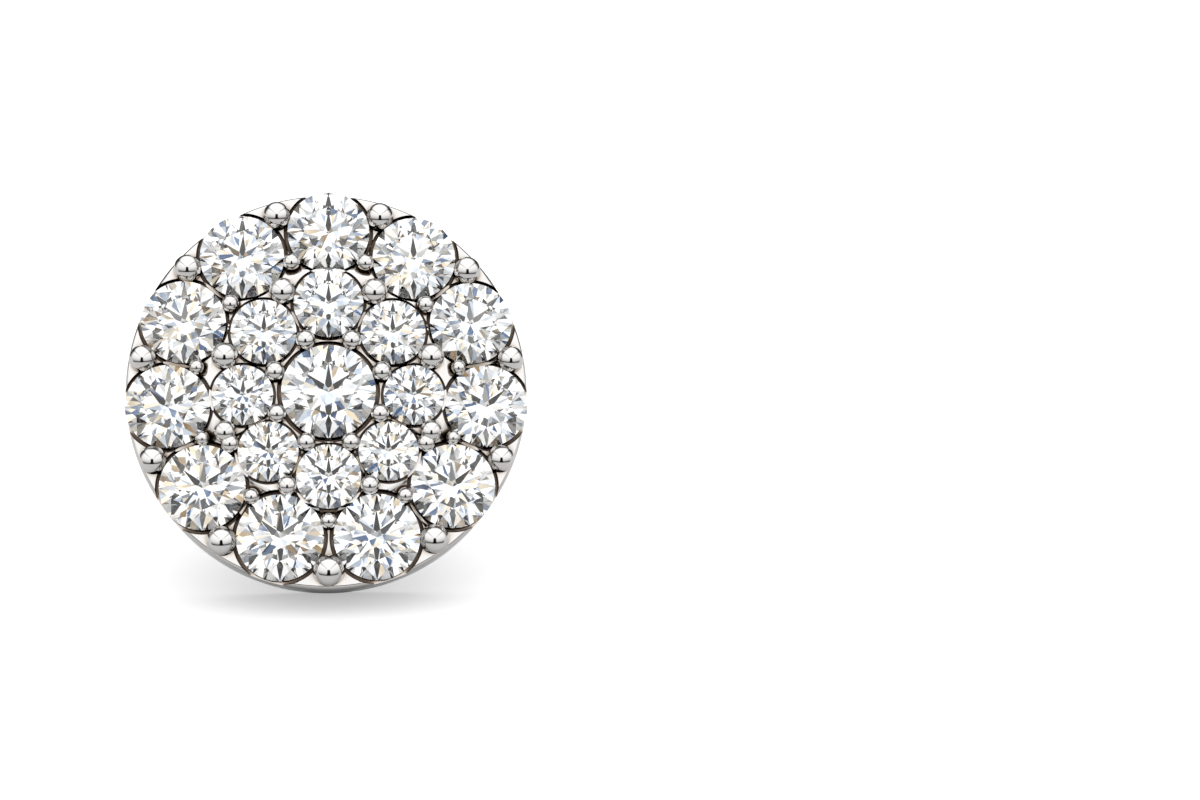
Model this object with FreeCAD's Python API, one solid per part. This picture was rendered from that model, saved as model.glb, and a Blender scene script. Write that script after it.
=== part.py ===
import FreeCAD, Part
import math
import os

# A cluster stud earring: round brilliants in two rings about a larger one, held by bead-ended
# prongs in a white gold head with an ear post. Sizes are millimetres and angles degrees.
# The head is drawn in its own frame: z runs out through the face, y up the face, and z = 0 is
# the seat plate at the rim. It is then leant back to where it rests, on the floor at z = 0.

HEAD_RADIUS = 5.30
HEAD_DEPTH = 1.95
RIM_ROUND_IN = 0.10
RIM_ROUND_DOWN = 0.24
BACK_EDGE_ROUND = 0.10
WALL = 0.55
PLATE_THICKNESS = 1.10

# The seat plate rises in one low step towards the middle.
PLATE_STEP = [
    # distance from the middle, height
    (3.60, 0.00),
    (3.10, 0.28),
]

GIRDLE_LIFT = 0.04
SEAT_GAP = 0.025
SEAT_HOLE_SHARE = 0.42

# Proportions of a round brilliant, as shares of its girdle radius.
TABLE_SHARE = 0.56
STAR_SHARE = 0.50
GIRDLE_SHARE = 0.055
LOWER_TIP_SHARE = 0.23
CROWN_ANGLE = 34.5
PAVILION_ANGLE = 40.75
MAIN_FACETS = 8

CENTRE_STONE_DROP = 0.10
CENTRE_STONE_RADIUS = 1.24

INNER_STONES = [
    # angle from the top of the face, distance from the middle, girdle radius
    (0.0, 2.27, 0.92),
    (48.8, 2.26, 0.86),
    (95.1, 2.25, 0.80),
    (137.2, 2.31, 0.79),
    (180.0, 2.36, 0.85),
]

OUTER_STONES = [
    # angle from the top of the face, distance from the middle, girdle radius
    (0.0, 4.25, 1.09),
    (32.7, 4.22, 1.11),
    (64.8, 4.19, 1.10),
    (96.3, 4.21, 1.10),
    (128.5, 4.18, 1.12),
    (162.2, 4.13, 1.14),
]

PRONGS = [
    # angle from the top of the face, distance from the middle, radius, shaft height over the plate
    (16.3, 4.88, 0.360, 0.13),
    (48.9, 4.91, 0.360, 0.13),
    (80.5, 4.91, 0.350, 0.13),
    (112.3, 4.92, 0.360, 0.13),
    (145.3, 4.86, 0.385, 0.13),
    (180.0, 4.80, 0.405, 0.13),
    (16.0, 3.53, 0.225, 0.22),
    (48.7, 3.42, 0.225, 0.19),
    (80.7, 3.48, 0.195, 0.20),
    (112.0, 3.53, 0.184, 0.22),
    (144.9, 3.48, 0.210, 0.20),
    (180.0, 3.50, 0.220, 0.20),
    (25.2, 2.85, 0.345, 0.14),
    (72.8, 2.83, 0.345, 0.14),
    (113.5, 2.93, 0.290, 0.14),
    (120.0, 2.95, 0.235, 0.14),
    (157.5, 2.80, 0.250, 0.16),
    (25.7, 1.40, 0.260, 0.20),
    (73.2, 1.46, 0.255, 0.20),
    (117.5, 1.51, 0.240, 0.20),
    (158.3, 1.56, 0.240, 0.20),
]
PRONG_ROOT_DEPTH = 0.30

BRIDGE_WIDTH = 1.80
BRIDGE_THICKNESS = 0.65
POST_RADIUS = 0.45
POST_LENGTH = 10.5
POST_FOOT_RADIUS = 0.80
POST_FOOT_HEIGHT = 0.40
GROOVE_DEPTH = 0.08
GROOVE_WIDTH = 0.40
GROOVE_FROM_TIP = 2.40

ORIGIN = FreeCAD.Vector(0, 0, 0)
FACE_AXIS = FreeCAD.Vector(0, 0, 1)
ACROSS = FreeCAD.Vector(1, 0, 0)


def face_place(angle, distance, height=0.0):
    """The point at an angle clockwise from the top of the face and a distance from its middle."""
    turn = math.radians(angle)
    return FreeCAD.Vector(distance * math.sin(turn), distance * math.cos(turn), height)


def both_sides(rows):
    """The rows, clockwise from the top, with each that is off the upright axis on both sides."""
    mirrored = [(-row[0],) + row[1:] for row in rows if row[0] not in (0.0, 180.0)]
    return sorted(rows + mirrored, key=lambda row: row[0] % 360)


def plate_height(distance):
    """Height of the seat plate at a distance from the middle of the face."""
    (far, low), (near, high) = PLATE_STEP
    share = (far - distance) / (far - near)
    return low + (high - low) * min(1.0, max(0.0, share))


def profile_line(start, end):
    return Part.makeLine(FreeCAD.Vector(start[0], 0, start[1]), FreeCAD.Vector(end[0], 0, end[1]))


def profile_lines(points):
    return [profile_line(start, end) for start, end in zip(points, points[1:])]


def profile_arc(start, middle, end):
    points = [FreeCAD.Vector(place[0], 0, place[1]) for place in (start, middle, end)]
    return Part.Arc(*points).toShape()


def quarter_round(start, end, centre):
    """A quarter of an ellipse-like round from start to end about centre, as one arc."""
    bulge = math.sqrt(0.5)
    middle = [
        centre[side] + (start[side] - centre[side] + end[side] - centre[side]) * bulge
        for side in (0, 1)
    ]
    return profile_arc(start, middle, end)


def turned(edges):
    """The solid that a closed profile of (radius, height) edges sweeps about the face axis."""
    return Part.Face(Part.Wire(edges)).revolve(ORIGIN, FACE_AXIS, 360)


class Brilliant:
    """A round brilliant with flat facets. The foot of its girdle is at z = 0, its table up."""

    def __init__(self, radius):
        half_main = math.radians(180 / MAIN_FACETS)
        crown = math.tan(math.radians(CROWN_ANGLE))
        pavilion = math.tan(math.radians(PAVILION_ANGLE))
        self.radius = radius
        self.girdle_top = GIRDLE_SHARE * radius
        self.table_radius = TABLE_SHARE * radius
        self.table_top = self.girdle_top + (radius - self.table_radius) * crown
        table_side = self.table_radius * math.cos(half_main)
        self.star_radius = table_side + STAR_SHARE * (radius - table_side)
        star_run = self.star_radius * math.cos(half_main) - self.table_radius
        self.star_top = self.table_top - star_run * crown
        self.culet = -radius * pavilion
        self.tip_radius = LOWER_TIP_SHARE * radius
        self.tip_height = self.culet + self.tip_radius * math.cos(half_main) * pavilion

        # The girdle has a corner in the middle of each half facet, which lies in that facet.
        shrink = math.cos(half_main / 2)
        beyond_chord = radius * (1 - shrink)
        upper_slope = (self.star_top - self.girdle_top) / ((radius - self.star_radius) * shrink)
        lower_slope = -self.tip_height / ((radius - self.tip_radius) * shrink)
        self.girdle_dip = self.girdle_top - beyond_chord * upper_slope
        self.girdle_rise = beyond_chord * lower_slope

    def corner(self, radius, height, step):
        """A corner of the stone. A step round is half a main facet, and mains are at even steps."""
        turn = math.radians(step * 180 / MAIN_FACETS)
        return FreeCAD.Vector(radius * math.cos(turn), radius * math.sin(turn), height)

    def girdle_row(self, step, end_height, middle_height):
        """Three corners along the girdle, from a step to the next."""
        return [
            self.corner(self.radius, end_height, step),
            self.corner(self.radius, middle_height, step + 0.5),
            self.corner(self.radius, end_height, step + 1),
        ]

    def half_facets(self, step, star_step):
        """The upper and lower half facets over one step of the girdle, and the girdle between."""
        top_row = self.girdle_row(step, self.girdle_top, self.girdle_dip)
        foot_row = self.girdle_row(step, 0, self.girdle_rise)
        star = self.corner(self.star_radius, self.star_top, star_step)
        tip = self.corner(self.tip_radius, self.tip_height, star_step)
        facets = [[star] + top_row, [tip] + foot_row]
        for left, right in ((0, 1), (1, 2)):
            facets.append([top_row[left], top_row[right], foot_row[right], foot_row[left]])
        return facets

    def main_facets(self, step):
        """The star, crown main and pavilion main at one main facet."""
        table = self.corner(self.table_radius, self.table_top, step)
        next_table = self.corner(self.table_radius, self.table_top, step + 2)
        star = self.corner(self.star_radius, self.star_top, step + 1)
        last_star = self.corner(self.star_radius, self.star_top, step - 1)
        tip = self.corner(self.tip_radius, self.tip_height, step + 1)
        last_tip = self.corner(self.tip_radius, self.tip_height, step - 1)
        girdle_top = self.corner(self.radius, self.girdle_top, step)
        girdle_foot = self.corner(self.radius, 0, step)
        culet = FreeCAD.Vector(0, 0, self.culet)
        return [
            [table, star, next_table],
            [table, last_star, girdle_top, star],
            [culet, last_tip, girdle_foot, tip],
        ]

    def facets(self):
        main_steps = range(0, 2 * MAIN_FACETS, 2)
        result = [[self.corner(self.table_radius, self.table_top, step) for step in main_steps]]
        for step in main_steps:
            result += self.main_facets(step)
            result += self.half_facets(step, step + 1)
            result += self.half_facets(step + 1, step + 1)
        return result

    def solid(self):
        faces = [Part.Face(Part.makePolygon(corners + corners[:1])) for corners in self.facets()]
        return Part.makeSolid(Part.makeShell(faces))

    def seat(self):
        """The body of revolution that clears the stone by the seat gap, with the hole behind it."""
        pavilion = math.radians(PAVILION_ANGLE)
        crown_slope = (self.star_top - self.girdle_top) / (self.radius - self.star_radius)
        edge = self.radius + SEAT_GAP
        hole = SEAT_HOLE_SHARE * self.radius
        foot = SEAT_GAP * (math.tan(pavilion) - 1 / math.cos(pavilion))
        hole_top = foot - (edge - hole) * math.tan(pavilion)
        shoulder = self.girdle_top + SEAT_GAP * (math.hypot(1, crown_slope) - crown_slope)
        points = [
            (0, hole_top - HEAD_DEPTH),
            (hole, hole_top - HEAD_DEPTH),
            (hole, hole_top),
            (edge, foot),
            (edge, shoulder),
            (0, shoulder + edge * crown_slope),
        ]
        return turned(profile_lines(points + points[:1]))


def stones():
    """Name, brilliant and place of each stone, from the middle out. A main facet of each is up."""
    rows = [("stone_centre", 180.0, CENTRE_STONE_DROP, CENTRE_STONE_RADIUS)]
    for ring, table in (("inner", INNER_STONES), ("outer", OUTER_STONES)):
        for number, (angle, distance, radius) in enumerate(both_sides(table), start=1):
            rows.append((f"stone_{ring}_{number}", angle, distance, radius))
    return [
        (name, Brilliant(radius), face_place(angle, distance, plate_height(distance) + GIRDLE_LIFT))
        for name, angle, distance, radius in rows
    ]


def placed(shape, place):
    shape.translate(place)
    return shape


def head_shell():
    """The seat plate and the side wall, open at the back."""
    inside = HEAD_RADIUS - WALL
    rim = HEAD_RADIUS - RIM_ROUND_IN
    wall_top = -RIM_ROUND_DOWN
    back = -HEAD_DEPTH
    back_corner = HEAD_RADIUS - BACK_EDGE_ROUND
    back_wall = back + BACK_EDGE_ROUND
    top = [(0, PLATE_STEP[-1][1])] + PLATE_STEP[::-1] + [(rim, 0)]
    under = [(distance, height - PLATE_THICKNESS) for distance, height in PLATE_STEP]
    under = [(inside, under[0][1])] + under + [(0, under[-1][1])]
    edges = profile_lines(top)
    edges.append(quarter_round((rim, 0), (HEAD_RADIUS, wall_top), (rim, wall_top)))
    edges.append(profile_line((HEAD_RADIUS, wall_top), (HEAD_RADIUS, back_wall)))
    edges.append(quarter_round((HEAD_RADIUS, back_wall), (back_corner, back), (back_corner, back_wall)))
    edges += profile_lines([(back_corner, back), (inside, back)] + under + top[:1])
    return turned(edges)


def prong(radius, shaft_height):
    """A round prong with a half ball on it, which stands on the plate at z = 0, its root below."""
    top = (0, shaft_height + radius)
    shoulder = (radius, shaft_height)
    edges = profile_lines([top, (0, -PRONG_ROOT_DEPTH), (radius, -PRONG_ROOT_DEPTH), shoulder])
    edges.append(quarter_round(shoulder, top, (0, shaft_height)))
    return turned(edges)


def back_bridge():
    """The bar across the back of the wall that carries the post."""
    length = 2 * (HEAD_RADIUS - WALL / 2)
    corner = FreeCAD.Vector(-length / 2, -BRIDGE_WIDTH / 2, -HEAD_DEPTH)
    return Part.makeBox(length, BRIDGE_WIDTH, BRIDGE_THICKNESS, corner)


def ear_post():
    """The post with its flared foot, a rounded friction groove near the tip and a round end."""
    base = -HEAD_DEPTH
    tip = base - POST_LENGTH
    root = (0, base + BRIDGE_THICKNESS / 2)
    groove_front = (POST_RADIUS, tip + GROOVE_FROM_TIP + GROOVE_WIDTH / 2)
    groove_middle = (POST_RADIUS - GROOVE_DEPTH, tip + GROOVE_FROM_TIP)
    groove_back = (POST_RADIUS, tip + GROOVE_FROM_TIP - GROOVE_WIDTH / 2)
    shoulder = (POST_RADIUS, tip + POST_RADIUS)
    foot = [
        root,
        (POST_FOOT_RADIUS, root[1]),
        (POST_FOOT_RADIUS, base),
        (POST_RADIUS, base - POST_FOOT_HEIGHT),
        groove_front,
    ]
    edges = profile_lines(foot)
    edges.append(profile_arc(groove_front, groove_middle, groove_back))
    edges.append(profile_line(groove_back, shoulder))
    edges.append(quarter_round(shoulder, (0, tip), (0, tip + POST_RADIUS)))
    edges.append(profile_line((0, tip), root))
    return turned(edges)


def head(brilliants):
    """The whole metal part: one solid, with the seats cut through it for the stones."""
    prongs = [
        placed(prong(radius, shaft_height), face_place(angle, distance, plate_height(distance)))
        for angle, distance, radius, shaft_height in both_sides(PRONGS)
    ]
    seats = [placed(stone.seat(), place) for _, stone, place in brilliants]
    front = head_shell().fuse(prongs).cut(seats)
    return front.fuse([back_bridge(), ear_post()]).removeSplitter()


def resting_lean():
    """How far the head leans back when its back edge and the tip of the post touch the floor."""
    edge_radius = HEAD_RADIUS - BACK_EDGE_ROUND
    run = HEAD_DEPTH + POST_LENGTH - POST_RADIUS - (HEAD_DEPTH - BACK_EDGE_ROUND)
    reach = math.hypot(edge_radius, run)
    lean = math.acos((POST_RADIUS - BACK_EDGE_ROUND) / reach) - math.atan2(run, edge_radius)
    return math.degrees(lean)


def main():
    os.makedirs("parts", exist_ok=True)
    brilliants = stones()
    shapes = {"setting": head(brilliants)}
    for name, stone, place in brilliants:
        shapes[name] = placed(stone.solid(), place)
    for shape in shapes.values():
        shape.rotate(ORIGIN, ACROSS, 90 - resting_lean())
    box = Part.makeCompound(list(shapes.values())).optimalBoundingBox(False, False)
    to_origin = FreeCAD.Vector(-box.Center.x, -box.Center.y, -box.ZMin)
    for name, shape in shapes.items():
        shape.translate(to_origin)
        shape.exportStep(f"parts/{name}.step")
    print(f"leans back {resting_lean():.2f} degrees, box {box.XLength:.2f} {box.YLength:.2f} {box.ZLength:.2f}")


main()
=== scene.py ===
import math
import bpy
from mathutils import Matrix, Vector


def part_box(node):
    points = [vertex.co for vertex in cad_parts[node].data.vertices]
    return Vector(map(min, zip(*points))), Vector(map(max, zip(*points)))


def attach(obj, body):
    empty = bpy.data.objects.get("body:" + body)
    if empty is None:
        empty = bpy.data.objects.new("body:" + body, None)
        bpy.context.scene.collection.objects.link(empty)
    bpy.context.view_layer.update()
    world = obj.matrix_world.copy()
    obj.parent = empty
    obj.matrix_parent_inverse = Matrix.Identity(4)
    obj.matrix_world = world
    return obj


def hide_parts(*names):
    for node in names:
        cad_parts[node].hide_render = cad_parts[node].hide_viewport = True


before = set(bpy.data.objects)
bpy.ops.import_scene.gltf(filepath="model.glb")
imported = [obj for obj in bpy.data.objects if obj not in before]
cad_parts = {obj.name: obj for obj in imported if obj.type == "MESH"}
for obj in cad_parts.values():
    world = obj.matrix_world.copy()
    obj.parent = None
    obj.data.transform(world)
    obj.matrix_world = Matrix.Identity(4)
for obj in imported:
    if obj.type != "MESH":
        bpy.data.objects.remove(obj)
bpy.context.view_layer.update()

from types import SimpleNamespace

import bmesh
import bpy
from mathutils import Matrix, Vector

# Lengths are in metres. MM turns a size in millimetres into metres.
MM = 0.001

# The head: a seat plate with a low step up to the middle, and a side wall, open at the back
HEAD_RADIUS = 5.30 * MM
HEAD_DEPTH = 1.95 * MM
RIM_ROUND_IN = 0.10 * MM
RIM_ROUND_DOWN = 0.24 * MM
BACK_EDGE_ROUND = 0.10 * MM
WALL = 0.55 * MM
PLATE_THICKNESS = 1.10 * MM
PLATE_STEP_FOOT = 3.60 * MM
PLATE_STEP_TOP = 3.10 * MM
PLATE_STEP_HEIGHT = 0.28 * MM

# The bridge across the back, and the ear post on it
BRIDGE_WIDTH = 1.80 * MM
BRIDGE_THICKNESS = 0.65 * MM
POST_RADIUS = 0.45 * MM
POST_LENGTH = 10.5 * MM
POST_FOOT_RADIUS = 0.80 * MM
POST_FOOT_HEIGHT = 0.40 * MM
GROOVE_DEPTH = 0.08 * MM
GROOVE_WIDTH = 0.40 * MM
GROOVE_FROM_TIP = 2.40 * MM

# A stone's proportions, as shares of its girdle radius
CROWN_SHARE = 0.3024
GIRDLE_SHARE = 0.055
PAVILION_SLOPE = 0.862

# The girdle's foot lies this share of a stone's depth above its culet.
GIRDLE_FOOT_SHARE = PAVILION_SLOPE / (PAVILION_SLOPE + GIRDLE_SHARE + CROWN_SHARE)

# The seat of a stone and the narrow moat round it, as shares of the stone's girdle radius. The
# seat's mouth narrows upwards over the crown, and so clears it under the prongs.
SEAT_GAP_SHARE = 0.022
SEAT_MOUTH_SLOPE = 0.851
SEAT_HOLE_SHARE = 0.42
SEAT_HOLE_LENGTH_SHARE = 2
MOAT_WIDTH_SHARE = 0.060
MOAT_DEPTH_SHARE = 0.22
MOAT_BEVEL_WIDTH_SHARE = 0.012
MOAT_BEVEL_TOP_SHARE = 0.045
MOAT_BEVEL_FOOT_SHARE = 0.075
MOAT_CUT_TOP_SHARE = 1

# The prongs of the upright axis and of one side. Angles are degrees, and lengths millimetres.
PRONGS = [
    # angle from the top of the face, distance from the middle, radius, shaft height over the plate
    (16.3, 4.88, 0.360, 0.13),
    (48.9, 4.91, 0.360, 0.13),
    (80.5, 4.91, 0.350, 0.13),
    (112.3, 4.92, 0.360, 0.13),
    (145.3, 4.86, 0.385, 0.13),
    (180.0, 4.80, 0.405, 0.13),
    (16.0, 3.53, 0.225, 0.22),
    (48.7, 3.42, 0.225, 0.19),
    (80.7, 3.48, 0.195, 0.20),
    (112.0, 3.53, 0.184, 0.22),
    (144.9, 3.48, 0.210, 0.20),
    (180.0, 3.50, 0.220, 0.20),
    (25.2, 2.85, 0.345, 0.14),
    (72.8, 2.83, 0.345, 0.14),
    (113.5, 2.93, 0.290, 0.14),
    (120.0, 2.95, 0.235, 0.14),
    (157.5, 2.80, 0.250, 0.16),
    (25.7, 1.40, 0.260, 0.20),
    (73.2, 1.46, 0.255, 0.20),
    (117.5, 1.51, 0.240, 0.20),
    (158.3, 1.56, 0.240, 0.20),
]
BOTTOM_ANGLE = 180.0

# A prong's root lies this many of its radii below its ball.
PRONG_ROOT_SHARE = 2.5

# A small pit on each side of a rim prong, in the bright corner between two stones. Prongs that
# stand further out than RIM_PRONG_DISTANCE, in millimetres, are rim prongs. The angle is degrees.
RIM_PRONG_DISTANCE = 4.5
PIT_RADIUS = 0.048 * MM
PIT_DISTANCE = 5.13 * MM
PIT_OFF_PRONG = 9.3

# How finely round shapes are divided: sides round their axis, and steps along each rounding
HEAD_SIDES = 240
SEAT_SIDES = 112
POST_SIDES = 64
PRONG_SIDES = 48
PIT_SIDES = 16
FLOOR_SIDES = 96
PLATE_STEP_STEPS = 10
EDGE_STEPS = 6
GROOVE_STEPS = 10
POST_TIP_STEPS = 12
BALL_STEPS = 14
PIT_STEPS = 5

# Edges that turn by more than SHARP_EDGE are sharp. A face is level where at least this share of
# its normal runs along the head's axis.
SHARP_EDGE = math.radians(28)
LEVEL_SHARE = 0.9999

# White gold. Recesses narrower than RECESS_REACH get painted shade, darker and warmer where they see less
# open sky.
RECESS_REACH = 0.40 * MM
RECESS_SAMPLES = 8
METAL_AND_PAINTED_SHADE_TONES = [
    # share of open sky, colour
    (0.30, (0.030, 0.022, 0.017)),
    (0.45, (0.20, 0.145, 0.100)),
    (0.58, (0.47, 0.400, 0.335)),
    (0.70, (0.70, 0.685, 0.67)),
]
SMOOTHEST_METAL = 0.02
ROUGHEST_METAL = 0.07
HAZE_SCALE = 2500.0
WAVE_SCALE = 900.0
WAVE_STRENGTH = 0.05
WAVE_DEPTH = 0.01 * MM

# Diamond
DIAMOND_IOR = 2.42
DIAMOND_GLOSS_TINT = (0.40, 0.40, 0.40, 1.0)
DIAMOND_TINT_SCALE = 700.0
DIAMOND_TINTS = [
    # share of the noise, colour
    (0.40, (0.97, 0.985, 1.0)),
    (0.60, (1.0, 0.99, 0.965)),
]

# The camera stands as in the photograph, a little below the square view of the face.
VIEW_BELOW_SQUARE = math.radians(8.5)
VIEW_DISTANCE = 55.6 * MM
PHOTO_SIZE = (1200, 800)
PHOTO_FACE_CENTRE = (328.6, 389.5)
FOCAL_PIXELS = 2077.0
SENSOR_WIDTH = 36.0
NEAREST_SEEN = 1.0 * MM
FARTHEST_SEEN = 10.0

# The table top, which the camera sees paler than the metal and the stones do. In reflections and
# through the stones it ends TABLE_FRONT ahead of the middle of the earring.
FLOOR_RADIUS = 0.6
FLOOR_TONE = 0.80
FLOOR_TONE_IN_MIRRORS = 0.62
FLOOR_GLOW = 0.42
FLOOR_GLOW_IN_MIRRORS = 0.08
FLOOR_ROUGHNESS = 0.8
TABLE_FRONT = 8.0 * MM

# The light tent. Heights are degrees over the horizon, as seen from the earring. Half widths,
# starts and softnesses are radians to either side of the front.
TENT_BRIGHTNESS = [
    # height, brightness
    (-90, 0.66),
    (-28, 0.76),
    (-21, 0.60),
    (-18, 0.05),
    (-14, 0.12),
    (-4, 0.80),
    (12, 1.20),
    (40, 1.50),
    (90, 1.50),
]

# The slot is shut where its half width is below zero. It looks narrower through the stones.
SLOT_HALF_WIDTHS = [
    # height, half width
    (-90, -0.20),
    (-21, -0.20),
    (-18, 0.38),
    (-12, 0.26),
    (-6, 0.19),
    (22, 0.17),
    (27, -0.20),
    (90, -0.20),
]
STONE_SLOT_HALF_WIDTHS = [
    # height, half width
    (-90, -0.20),
    (-10, -0.20),
    (-3, 0.03),
    (44, 0.03),
    (50, -0.20),
    (90, -0.20),
]
SLOT_SOFTNESS = 0.04
STONE_SLOT_SOFTNESS = 0.16
SLOT_BRIGHTNESS = 0.01

# The dark band round the back
BAND_DARKNESS = [
    # height, how much of the light it takes
    (-90, 0.95),
    (30, 0.95),
    (48, 0.0),
    (90, 0.0),
]
BAND_START = 1.6
STONE_BAND_START = 1.1
BAND_SOFTNESS = 0.6

# Two seams part at the front, SEAM_FOOT over the horizon, and lean away from each other. The lean
# and the width are measured sideways, as shares of the height over that foot.
SEAM_FOOT = math.radians(20)
SEAM_LEAN = 1.1
SEAM_WIDTH = 0.22
SEAM_BRIGHTNESS = 0.40
LEAST_OVER_FOOT = 0.001

# Tints of the tent that show through the stones
STONE_TINT_SCALE = 9.0
STONE_TINTS = [
    # share of the noise, colour
    (0.30, (0.06, 0.11, 0.22)),
    (0.37, (0.53, 0.60, 0.69)),
    (0.43, (0.97, 0.98, 1.00)),
    (0.575, (1.00, 0.99, 0.97)),
    (0.64, (0.91, 0.79, 0.60)),
    (0.70, (0.26, 0.18, 0.10)),
]
WHITE = (1.0, 1.0, 1.0, 1.0)

# Enough bounces for light to leave a brilliant again
MOST_BOUNCES = 32
STONE_BOUNCES = 24
MIRROR_BOUNCES = 12


class Nodes:
    """A node tree under construction: makes nodes and joins sockets by name or number."""

    def __init__(self, tree):
        self.tree = tree
        tree.nodes.clear()

    def add(self, kind, values=None, **settings):
        """A node with its settings, and each socket in values linked or given its value."""
        node = self.tree.nodes.new(kind)
        for name, value in settings.items():
            setattr(node, name, value)
        for socket, value in (values or {}).items():
            if isinstance(value, bpy.types.NodeSocket):
                self.tree.links.new(value, node.inputs[socket])
            else:
                node.inputs[socket].default_value = value
        return node

    def math(self, operation, *values):
        return self.add("ShaderNodeMath", dict(enumerate(values)), operation=operation).outputs[0]

    def compared(self, first, operation, second):
        return self.add("FunctionNodeCompare", {"A": first, "B": second}, operation=operation).outputs[0]

    def noise(self, place, scale, detail):
        settings = {"Vector": place, "Scale": scale, "Detail": detail}
        return self.add("ShaderNodeTexNoise", settings).outputs["Fac"]

    def mapped(self, value, low, high):
        """A value from 0 to 1, spread from low to high."""
        return self.add("ShaderNodeMapRange", {"Value": value, "To Min": low, "To Max": high}).outputs[0]

    def soft_step(self, value, start, width):
        """0 up to start, and 1 from start plus width on."""
        settings = {"Value": value, "From Min": start, "From Max": self.math("ADD", start, width)}
        return self.add("ShaderNodeMapRange", settings, interpolation_type="SMOOTHSTEP").outputs[0]

    def ramp(self, angle, stops):
        """A value that follows stops of (angle in degrees, value), for an angle in radians."""
        low, high = math.radians(stops[0][0]), math.radians(stops[-1][0])
        share = self.add("ShaderNodeMapRange", {"Value": angle, "From Min": low, "From Max": high})
        curve = self.add("ShaderNodeFloatCurve", {"Value": share.outputs[0]})
        points = curve.mapping.curves[0].points
        while len(points) < len(stops):
            points.new(0.5, 0.5)
        bottom = min(value for _, value in stops)
        top = max(value for _, value in stops)
        for point, (stop, value) in zip(points, stops):
            along = (math.radians(stop) - low) / (high - low)
            point.location = (along, (value - bottom) / (top - bottom))
            point.handle_type = "VECTOR"
        curve.mapping.update()
        return self.mapped(curve.outputs[0], bottom, top)

    def colour_ramp(self, value, stops):
        """A colour that follows stops of (value, colour)."""
        ramp = self.add("ShaderNodeValToRGB", {"Fac": value})
        elements = ramp.color_ramp.elements
        while len(elements) < len(stops):
            elements.new(1.0)
        for element, (position, tone) in zip(elements, stops):
            element.position = position
            element.color = (*tone, 1.0)
        return ramp.outputs[0]


class MetalNodes(Nodes):
    """A tree that joins, cuts and shades the metal of the setting, out of the named parts."""

    def __init__(self, tree, parts):
        super().__init__(tree)
        self.parts = parts

    def part(self, name):
        return self.add("GeometryNodeObjectInfo", {"Object": self.parts[name]}).outputs["Geometry"]

    def repeated(self, unit, points):
        """One unit shape at each point, as large as the point's size."""
        size = self.add("GeometryNodeInputNamedAttribute", {"Name": "size"}, data_type="FLOAT")
        copies = self.add("GeometryNodeInstanceOnPoints", {
            "Points": self.part(points),
            "Instance": self.part(unit),
            "Scale": size.outputs["Attribute"],
        })
        return self.add("GeometryNodeRealizeInstances", {"Geometry": copies.outputs[0]}).outputs[0]

    def boolean(self, operation, bodies, values=None):
        node = self.add("GeometryNodeMeshBoolean", values, operation=operation, solver="MANIFOLD")
        for body in bodies:
            self.tree.links.new(body, node.inputs["Mesh 2"])
        return node.outputs["Mesh"]

    def joined(self, *bodies):
        return self.boolean("UNION", bodies)

    def cut(self, body, *cutters):
        return self.boolean("DIFFERENCE", cutters, {"Mesh 1": body})

    def shaded(self, metal, sharp_edge):
        """Smooth faces, except the level ones, with sharp edges where the surface turns."""
        metal = self.add("GeometryNodeSetShadeSmooth", {"Geometry": metal}).outputs[0]
        normal = self.add("GeometryNodeInputNormal").outputs[0]
        along_axis = self.add("ShaderNodeSeparateXYZ", {"Vector": normal}).outputs["Z"]
        level = self.compared(self.math("ABSOLUTE", along_axis), "GREATER_THAN", LEVEL_SHARE)
        faces = {"Geometry": metal, "Selection": level, "Shade Smooth": False}
        metal = self.add("GeometryNodeSetShadeSmooth", faces).outputs[0]
        angle = self.add("GeometryNodeInputMeshEdgeAngle").outputs["Unsigned Angle"]
        edges = {"Geometry": metal, "Shade Smooth": self.compared(angle, "LESS_THAN", sharp_edge)}
        return self.add("GeometryNodeSetShadeSmooth", edges, domain="EDGE").outputs[0]


def resting_lean():
    """How far the head leans back when its back edge and the tip of the post touch the floor."""
    edge_radius = HEAD_RADIUS - BACK_EDGE_ROUND
    run = POST_LENGTH - POST_RADIUS + BACK_EDGE_ROUND
    reach = math.hypot(edge_radius, run)
    return math.acos((POST_RADIUS - BACK_EDGE_ROUND) / reach) - math.atan2(run, edge_radius)


def face_frame():
    """The matrix that carries the head's own frame into the scene.

    Its origin is the middle of the face at the level of the seat plate, its y runs up the face
    and its z out through it.
    """
    lean = resting_lean()
    normal = Vector((0, -math.cos(lean), math.sin(lean)))
    up = Vector((0, math.sin(lean), math.cos(lean)))
    post_run = HEAD_DEPTH + POST_LENGTH - POST_RADIUS
    height = post_run * math.sin(lean) + POST_RADIUS
    back_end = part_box("setting")[1].y - POST_RADIUS
    centre = Vector((0, back_end - post_run * math.cos(lean), height))
    axes = Matrix((Vector((1, 0, 0)), up, normal)).transposed()
    return Matrix.Translation(centre) @ axes.to_4x4()


def step_share(distance):
    """0 outside the step in the seat plate, 1 inside it, and in between on its slope."""
    share = (PLATE_STEP_FOOT - distance) / (PLATE_STEP_FOOT - PLATE_STEP_TOP)
    return min(1.0, max(0.0, share))


def plate_height(distance):
    """Height of the seat plate at a distance from the middle. The step is rounded off."""
    share = step_share(distance)
    return PLATE_STEP_HEIGHT * share * share * (3 - 2 * share)


def quarter_round(start, end, steps):
    """Points of a quarter of an ellipse, which leaves start along its radius and reaches end."""
    points = []
    for step in range(steps + 1):
        turn = math.pi / 2 * step / steps
        radius = start[0] + (end[0] - start[0]) * math.sin(turn)
        height = end[1] + (start[1] - end[1]) * math.cos(turn)
        points.append((radius, height))
    return points


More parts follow.
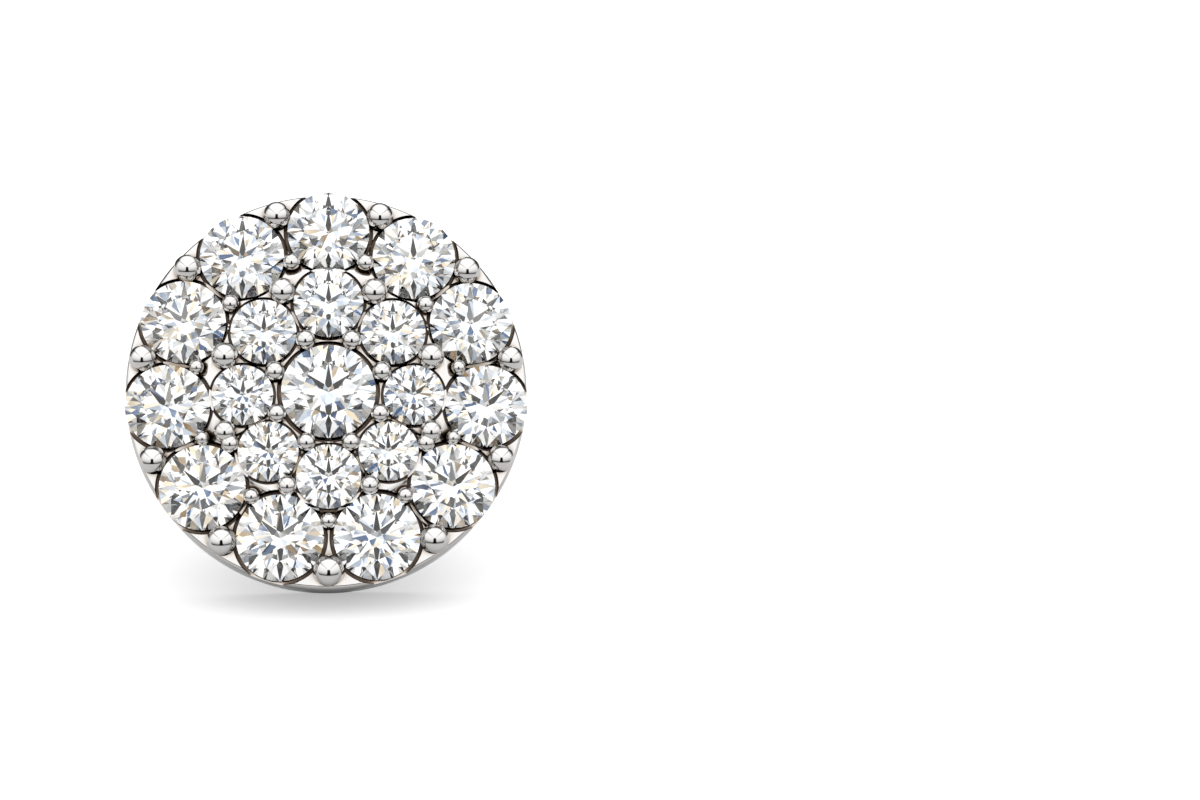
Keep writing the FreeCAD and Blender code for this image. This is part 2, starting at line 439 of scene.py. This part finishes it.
def revolved(name, profile, sides):
    """A closed body of revolution about z. The profile runs from the axis, out and back to it."""
    verts, faces, rings = [], [], []
    for radius, height in profile:
        if radius == 0:
            rings.append([len(verts)] * sides)
            verts.append((0, 0, height))
            continue
        rings.append(list(range(len(verts), len(verts) + sides)))
        for step in range(sides):
            turn = 2 * math.pi * step / sides
            verts.append((radius * math.cos(turn), radius * math.sin(turn), height))
    for upper, lower in zip(rings, rings[1:]):
        for step in range(sides):
            after = (step + 1) % sides
            corners = [upper[step], lower[step], lower[after], upper[after]]
            faces.append(list(dict.fromkeys(corners)))
    mesh = bpy.data.meshes.new(name)
    mesh.from_pydata(verts, [], faces)
    return bpy.data.objects.new(name, mesh)


def head_shell():
    """The seat plate and the side wall, open at the back. The plate's top runs down to the rim."""
    inside = HEAD_RADIUS - WALL
    top = [(0, PLATE_STEP_HEIGHT)]
    for step in range(PLATE_STEP_STEPS + 1):
        distance = PLATE_STEP_TOP + (PLATE_STEP_FOOT - PLATE_STEP_TOP) * step / PLATE_STEP_STEPS
        top.append((distance, plate_height(distance)))
    rim = quarter_round((HEAD_RADIUS - RIM_ROUND_IN, 0), (HEAD_RADIUS, -RIM_ROUND_DOWN), EDGE_STEPS)
    back_start = (HEAD_RADIUS - BACK_EDGE_ROUND, -HEAD_DEPTH)
    back_end = (HEAD_RADIUS, BACK_EDGE_ROUND - HEAD_DEPTH)
    back_round = quarter_round(back_start, back_end, EDGE_STEPS)
    under = [
        (inside, -HEAD_DEPTH),
        (inside, -PLATE_THICKNESS),
        (PLATE_STEP_FOOT, -PLATE_THICKNESS),
        (PLATE_STEP_TOP, PLATE_STEP_HEIGHT - PLATE_THICKNESS),
        (0, PLATE_STEP_HEIGHT - PLATE_THICKNESS),
    ]
    return revolved("head_shell", top + rim + back_round[::-1] + under, HEAD_SIDES)


def back_bridge():
    """The bar across the back of the wall that carries the post."""
    size = (2 * HEAD_RADIUS - WALL, BRIDGE_WIDTH, BRIDGE_THICKNESS)
    place = Matrix.Translation((0, 0, BRIDGE_THICKNESS / 2 - HEAD_DEPTH))
    shape = bmesh.new()
    bmesh.ops.create_cube(shape, size=1.0, matrix=place @ Matrix.Diagonal((*size, 1)))
    mesh = bpy.data.meshes.new("back_bridge")
    shape.to_mesh(mesh)
    shape.free()
    return bpy.data.objects.new("back_bridge", mesh)


def ear_post():
    """The post with its flared foot, a rounded friction groove near the tip and a round end."""
    tip = -HEAD_DEPTH - POST_LENGTH
    root = BRIDGE_THICKNESS / 2 - HEAD_DEPTH
    profile = [
        (0, root),
        (POST_FOOT_RADIUS, root),
        (POST_FOOT_RADIUS, -HEAD_DEPTH),
        (POST_RADIUS, -HEAD_DEPTH - POST_FOOT_HEIGHT),
    ]
    for step in range(GROOVE_STEPS + 1):
        across = 2 * step / GROOVE_STEPS - 1
        depth = GROOVE_DEPTH * (1 - across * across)
        height = tip + GROOVE_FROM_TIP - across * GROOVE_WIDTH / 2
        profile.append((POST_RADIUS - depth, height))
    end = quarter_round((0, tip), (POST_RADIUS, tip + POST_RADIUS), POST_TIP_STEPS)
    return revolved("ear_post", profile + end[::-1], POST_SIDES)


def unit_prong():
    """A round prong of radius 1 with a half ball on it, whose shaft runs down from z = 0."""
    ball = quarter_round((0, 1), (1, 0), BALL_STEPS)
    root = [(1, -PRONG_ROOT_SHARE), (0, -PRONG_ROOT_SHARE)]
    return revolved("unit_prong", ball + root, PRONG_SIDES)


def unit_seat():
    """What is cut out for a stone of radius 1, with the foot of its girdle at z = 0, and its hole."""
    edge = 1 + SEAT_GAP_SHARE
    hole_top = -(edge - SEAT_HOLE_SHARE) * PAVILION_SLOPE
    hole_end = hole_top - SEAT_HOLE_LENGTH_SHARE
    profile = [
        (0, GIRDLE_SHARE + SEAT_MOUTH_SLOPE * edge),
        (edge, GIRDLE_SHARE),
        (edge, 0),
        (SEAT_HOLE_SHARE, hole_top),
        (SEAT_HOLE_SHARE, hole_end),
        (0, hole_end),
    ]
    return revolved("unit_seat", profile, SEAT_SIDES)


def unit_moat():
    """The narrow groove round a stone of radius 1, cut as a disc that the seat then meets."""
    edge = 1 + SEAT_GAP_SHARE + MOAT_WIDTH_SHARE
    bevel = edge + MOAT_BEVEL_WIDTH_SHARE
    profile = [
        (0, MOAT_CUT_TOP_SHARE),
        (bevel, MOAT_CUT_TOP_SHARE),
        (bevel, -MOAT_BEVEL_TOP_SHARE),
        (edge, -MOAT_BEVEL_FOOT_SHARE),
        (edge, -MOAT_DEPTH_SHARE),
        (0, -MOAT_DEPTH_SHARE),
    ]
    return revolved("unit_moat", profile, SEAT_SIDES)


def unit_pit():
    """A ball of radius 1, which leaves a round pit where it is cut out."""
    above = quarter_round((0, 1), (1, 0), PIT_STEPS)
    below = [(radius, -height) for radius, height in above[-2::-1]]
    return revolved("unit_pit", above + below, PIT_SIDES)


def points_with_sizes(name, rows):
    """A mesh of points from rows of (place, size), each with its size kept as an attribute."""
    mesh = bpy.data.meshes.new(name)
    mesh.from_pydata([place for place, _ in rows], [], [])
    sizes = mesh.attributes.new("size", "FLOAT", "POINT")
    for index, (_, size) in enumerate(rows):
        sizes.data[index].value = size
    return bpy.data.objects.new(name, mesh)


def stone_places(face):
    """The foot of each stone's girdle and its radius, read from the frame's stones."""
    to_face = face.inverted()
    rows = []
    for name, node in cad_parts.items():
        if name == "setting":
            continue
        corners = [to_face @ node.matrix_world @ vertex.co for vertex in node.data.vertices]
        extents = [(min(values), max(values)) for values in zip(*corners)]
        (left, right), (low, high), (culet, table) = extents
        foot = culet + (table - culet) * GIRDLE_FOOT_SHARE
        middle = Vector(((left + right) / 2, (low + high) / 2, foot))
        rows.append((middle, (right - left) / 2))
    return rows


def face_place(angle, distance, height):
    """A place on the face, its angle being degrees clockwise from the top."""
    turn = math.radians(angle)
    return Vector((distance * math.sin(turn), distance * math.cos(turn), height))


def both_sides(rows):
    """The rows, and a mirror image of each that isn't at the bottom of the upright axis."""
    return rows + [(-row[0],) + row[1:] for row in rows if row[0] != BOTTOM_ANGLE]


def prong_places():
    """The middle of each prong's ball and its radius. The step carries them as a plain slope."""
    rows = []
    for angle, distance, radius, shaft in both_sides(PRONGS):
        height = PLATE_STEP_HEIGHT * step_share(distance * MM) + shaft * MM
        rows.append((face_place(angle, distance * MM, height), radius * MM))
    return rows


def pit_places():
    """The middle of each pit and its radius."""
    rows = []
    for angle, distance, _, _ in both_sides(PRONGS):
        if distance < RIM_PRONG_DISTANCE:
            continue
        for side in (-PIT_OFF_PRONG, PIT_OFF_PRONG):
            rows.append((face_place(angle + side, PIT_DISTANCE, 0.0), PIT_RADIUS))
    return rows


def setting_tree(parts):
    """The node tree that solders the prongs on and cuts the moats, pits and seats."""
    tree = bpy.data.node_groups.new("setting", "GeometryNodeTree")
    tree.interface.new_socket("Geometry", in_out="INPUT", socket_type="NodeSocketGeometry")
    tree.interface.new_socket("Metal", in_out="INPUT", socket_type="NodeSocketMaterial")
    tree.interface.new_socket("Sharp edge", in_out="INPUT", socket_type="NodeSocketFloat")
    tree.interface.new_socket("Geometry", in_out="OUTPUT", socket_type="NodeSocketGeometry")
    nodes = MetalNodes(tree, parts)
    given = nodes.add("NodeGroupInput").outputs
    metal = nodes.cut(given["Geometry"], nodes.repeated("moat", "stones"), nodes.repeated("pit", "pits"))
    metal = nodes.joined(metal, nodes.repeated("prong", "prongs"))
    metal = nodes.cut(metal, nodes.repeated("seat", "stones"))
    metal = nodes.joined(metal, nodes.part("bridge"), nodes.part("post"))
    metal = nodes.shaded(metal, given["Sharp edge"])
    metal = nodes.add("GeometryNodeRealizeInstances", {"Geometry": metal}).outputs[0]
    settings = {"Geometry": metal, "Material": given["Metal"]}
    metal = nodes.add("GeometryNodeSetMaterial", settings).outputs[0]
    nodes.add("NodeGroupOutput", {"Geometry": metal})
    return tree


def make_setting(metal, face):
    """The metal of the earring, finer than the frame's, which it replaces."""
    parts = {
        "moat": unit_moat(),
        "seat": unit_seat(),
        "prong": unit_prong(),
        "pit": unit_pit(),
        "bridge": back_bridge(),
        "post": ear_post(),
        "stones": points_with_sizes("stone_places", stone_places(face)),
        "prongs": points_with_sizes("prong_places", prong_places()),
        "pits": points_with_sizes("pit_places", pit_places()),
    }
    shell = head_shell()
    bpy.context.scene.collection.objects.link(shell)
    tree = setting_tree(parts)
    modifier = shell.modifiers.new("setting", "NODES")
    modifier.node_group = tree
    inputs = {item.name: item.identifier for item in tree.interface.items_tree if item.in_out == "INPUT"}
    modifier[inputs["Metal"]] = metal
    modifier[inputs["Sharp edge"]] = SHARP_EDGE
    evaluated = shell.evaluated_get(bpy.context.evaluated_depsgraph_get())
    mesh = bpy.data.meshes.new_from_object(evaluated)
    mesh.transform(face)
    setting = bpy.data.objects.new("setting_metal", mesh)
    bpy.context.scene.collection.objects.link(setting)
    for part in [shell, *parts.values()]:
        bpy.data.objects.remove(part)
    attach(setting, "root")
    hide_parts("setting")


def new_material(name):
    material = bpy.data.materials.new(name)
    material.use_nodes = True
    return material, Nodes(material.node_tree)


def finish_material(nodes, shader):
    nodes.add("ShaderNodeOutputMaterial", {"Surface": shader.outputs[0]})


def polished_gold():
    """White gold, polished to a mirror, with faint polishing waves and painted shade, dark and warm, in its
    recesses.
    """
    material, nodes = new_material("polished_white_gold")
    place = nodes.add("ShaderNodeTexCoord").outputs["Object"]
    waves = nodes.noise(place, WAVE_SCALE, 3.0)
    bump = nodes.add("ShaderNodeBump", {"Height": waves, "Strength": WAVE_STRENGTH, "Distance": WAVE_DEPTH})
    haze = nodes.noise(place, HAZE_SCALE, 4.0)
    # The base colour follows the open sky, which paints shade into the recesses and along the moats round
    # the stones.
    open_sky = nodes.add("ShaderNodeAmbientOcclusion", {"Distance": RECESS_REACH}, samples=RECESS_SAMPLES)
    shader = nodes.add("ShaderNodeBsdfPrincipled", {
        "Base Color": nodes.colour_ramp(open_sky.outputs["AO"], METAL_AND_PAINTED_SHADE_TONES),
        "Metallic": 1.0,
        "Roughness": nodes.mapped(haze, SMOOTHEST_METAL, ROUGHEST_METAL),
        "Normal": bump.outputs[0],
    })
    finish_material(nodes, shader)
    return material


def clear_brilliant():
    """Cut diamond: clear, with its full refraction and a faint tint that drifts through the body."""
    material, nodes = new_material("clear_brilliant")
    place = nodes.add("ShaderNodeTexCoord").outputs["Object"]
    drift = nodes.noise(place, DIAMOND_TINT_SCALE, 1.0)
    shader = nodes.add("ShaderNodeBsdfPrincipled", {
        "Base Color": nodes.colour_ramp(drift, DIAMOND_TINTS),
        "Roughness": 0.0,
        "IOR": DIAMOND_IOR,
        "Specular Tint": DIAMOND_GLOSS_TINT,
        "Transmission Weight": 1.0,
    })
    finish_material(nodes, shader)
    return material


def finish_solids(gold, diamond):
    """Gives the frame's own solids the same materials."""
    for name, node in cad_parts.items():
        node.data.materials.clear()
        node.data.materials.append(gold if name == "setting" else diamond)


def floor_material():
    """A pale matt table top, which ends in front for reflections and for light through the stones."""
    material, nodes = new_material("pale_floor")
    ray = nodes.add("ShaderNodeLightPath").outputs
    to_camera = ray["Is Camera Ray"]
    table_top = nodes.add("ShaderNodeBsdfPrincipled", {
        "Base Color": nodes.mapped(to_camera, FLOOR_TONE_IN_MIRRORS, FLOOR_TONE),
        "Roughness": FLOOR_ROUGHNESS,
        "Specular IOR Level": 0.0,
        "Emission Color": WHITE,
        "Emission Strength": nodes.mapped(to_camera, FLOOR_GLOW_IN_MIRRORS, FLOOR_GLOW),
    })
    open_air = nodes.add("ShaderNodeBsdfTransparent")
    mirrored = nodes.math("MAXIMUM", ray["Is Glossy Ray"], ray["Is Transmission Ray"])
    place = nodes.add("ShaderNodeTexCoord").outputs["Object"]
    ahead = nodes.add("ShaderNodeSeparateXYZ", {"Vector": place}).outputs["Y"]
    past_front = nodes.math("LESS_THAN", ahead, -TABLE_FRONT)
    share = nodes.math("MULTIPLY", mirrored, past_front)
    both = nodes.add("ShaderNodeMixShader", {0: share, 1: table_top.outputs[0], 2: open_air.outputs[0]})
    finish_material(nodes, both)
    return material


def make_floor():
    """A plain pale floor under the earring, out past the top of the view."""
    bpy.ops.mesh.primitive_circle_add(vertices=FLOOR_SIDES, radius=FLOOR_RADIUS, fill_type="NGON")
    floor = bpy.context.object
    floor.name = "floor"
    floor.data.materials.append(floor_material())


def ray_facts(nodes):
    """Where a ray goes and what it is seen by, which every part of the tent is worked out from.

    Right, front and up are shares of its direction, with x to the right and -y to the front.
    Side is its angle to either side of the front, and height its angle over the horizon.
    """
    direction = nodes.add("ShaderNodeTexCoord").outputs["Generated"]
    shares = nodes.add("ShaderNodeSeparateXYZ", {"Vector": direction}).outputs
    front = nodes.math("MULTIPLY", shares["Y"], -1.0)
    path = nodes.add("ShaderNodeLightPath").outputs
    return SimpleNamespace(
        direction=direction,
        right=shares["X"],
        front=front,
        up=shares["Z"],
        side=nodes.math("ABSOLUTE", nodes.math("ARCTAN2", shares["X"], front)),
        height=nodes.math("ARCSINE", shares["Z"]),
        through_stone=path["Is Transmission Ray"],
        to_camera=path["Is Camera Ray"],
    )


def outside_slot(nodes, ray):
    """0 in the tall slot at the tent's front, and 1 outside it."""
    mirrored = nodes.ramp(ray.height, SLOT_HALF_WIDTHS)
    refracted = nodes.ramp(ray.height, STONE_SLOT_HALF_WIDTHS)
    half_width = nodes.mapped(ray.through_stone, mirrored, refracted)
    softness = nodes.mapped(ray.through_stone, SLOT_SOFTNESS, STONE_SLOT_SOFTNESS)
    return nodes.soft_step(nodes.math("SUBTRACT", ray.side, half_width), 0.0, softness)


def back_band(nodes, ray):
    """The share of the light that the dark band round the back takes."""
    start = nodes.mapped(ray.through_stone, BAND_START, STONE_BAND_START)
    share = nodes.soft_step(ray.side, start, BAND_SOFTNESS)
    return nodes.math("MULTIPLY", nodes.ramp(ray.height, BAND_DARKNESS), share)


def off_seams(nodes, ray):
    """0 on the two seams that part over the slot, and 1 off them."""
    back = nodes.math("MULTIPLY", ray.front, -math.sin(SEAM_FOOT))
    up = nodes.math("MULTIPLY", ray.up, math.cos(SEAM_FOOT))
    over_foot = nodes.math("MAXIMUM", nodes.math("ADD", back, up), LEAST_OVER_FOOT)
    lean = nodes.math("DIVIDE", nodes.math("ABSOLUTE", ray.right), over_foot)
    distance = nodes.math("ABSOLUTE", nodes.math("SUBTRACT", lean, SEAM_LEAN))
    return nodes.soft_step(distance, 0.0, SEAM_WIDTH)


def tent_brightness(nodes, ray):
    """Brightness of the tent's walls, slot, band and seams. To the camera it is an even white."""
    bright = nodes.ramp(ray.height, TENT_BRIGHTNESS)
    shades = [
        nodes.math("SUBTRACT", 1.0, back_band(nodes, ray)),
        nodes.mapped(off_seams(nodes, ray), SEAM_BRIGHTNESS, 1.0),
        nodes.mapped(outside_slot(nodes, ray), SLOT_BRIGHTNESS, 1.0),
    ]
    for shade in shades:
        bright = nodes.math("MULTIPLY", bright, shade)
    return nodes.mapped(ray.to_camera, bright, 1.0)


def tent_tint(nodes, ray):
    """White, and through the stones blue and amber here and there."""
    tints = nodes.colour_ramp(nodes.noise(ray.direction, STONE_TINT_SCALE, 1.0), STONE_TINTS)
    colours = {"Factor": ray.through_stone, "A": WHITE, "B": tints}
    return nodes.add("ShaderNodeMix", colours, data_type="RGBA").outputs["Result"]


def make_world():
    """A white light tent round the earring, open at the front in a tall dark slot."""
    world = bpy.data.worlds.new("light_tent")
    bpy.context.scene.world = world
    world.use_nodes = True
    nodes = Nodes(world.node_tree)
    ray = ray_facts(nodes)
    light = {"Color": tent_tint(nodes, ray), "Strength": tent_brightness(nodes, ray)}
    background = nodes.add("ShaderNodeBackground", light)
    nodes.add("ShaderNodeOutputWorld", {"Surface": background.outputs[0]})


def make_camera(face):
    """The camera, straight ahead of the face, which it holds left of the middle of the picture."""
    elevation = resting_lean() - VIEW_BELOW_SQUARE
    to_camera = Vector((0, -math.cos(elevation), math.sin(elevation)))
    across = (PHOTO_FACE_CENTRE[0] - PHOTO_SIZE[0] / 2) / FOCAL_PIXELS
    down = (PHOTO_FACE_CENTRE[1] - PHOTO_SIZE[1] / 2) / FOCAL_PIXELS
    data = bpy.data.cameras.new("camera")
    data.sensor_width = SENSOR_WIDTH
    data.lens = SENSOR_WIDTH * FOCAL_PIXELS / PHOTO_SIZE[0]
    data.clip_start = NEAREST_SEEN
    data.clip_end = FARTHEST_SEEN
    camera = bpy.data.objects.new("camera", data)
    bpy.context.scene.collection.objects.link(camera)
    look = (-to_camera).to_track_quat("-Z", "Y").to_matrix()
    turn = Matrix.Rotation(math.atan(across), 3, "Y") @ Matrix.Rotation(math.atan(down), 3, "X")
    camera.matrix_world = (look @ turn).to_4x4()
    camera.location = face.translation + to_camera * VIEW_DISTANCE
    bpy.context.scene.camera = camera


def set_light_paths():
    """Lets light bounce long enough in the stones. The metal throws none on the table."""
    scene = bpy.context.scene
    scene.view_settings.view_transform = "Standard"
    scene.cycles.max_bounces = MOST_BOUNCES
    scene.cycles.transmission_bounces = STONE_BOUNCES
    scene.cycles.glossy_bounces = MIRROR_BOUNCES
    scene.cycles.caustics_reflective = False


face = face_frame()
gold = polished_gold()
diamond = clear_brilliant()
finish_solids(gold, diamond)
make_setting(gold, face)
make_floor()
make_world()
make_camera(face)
set_light_paths()
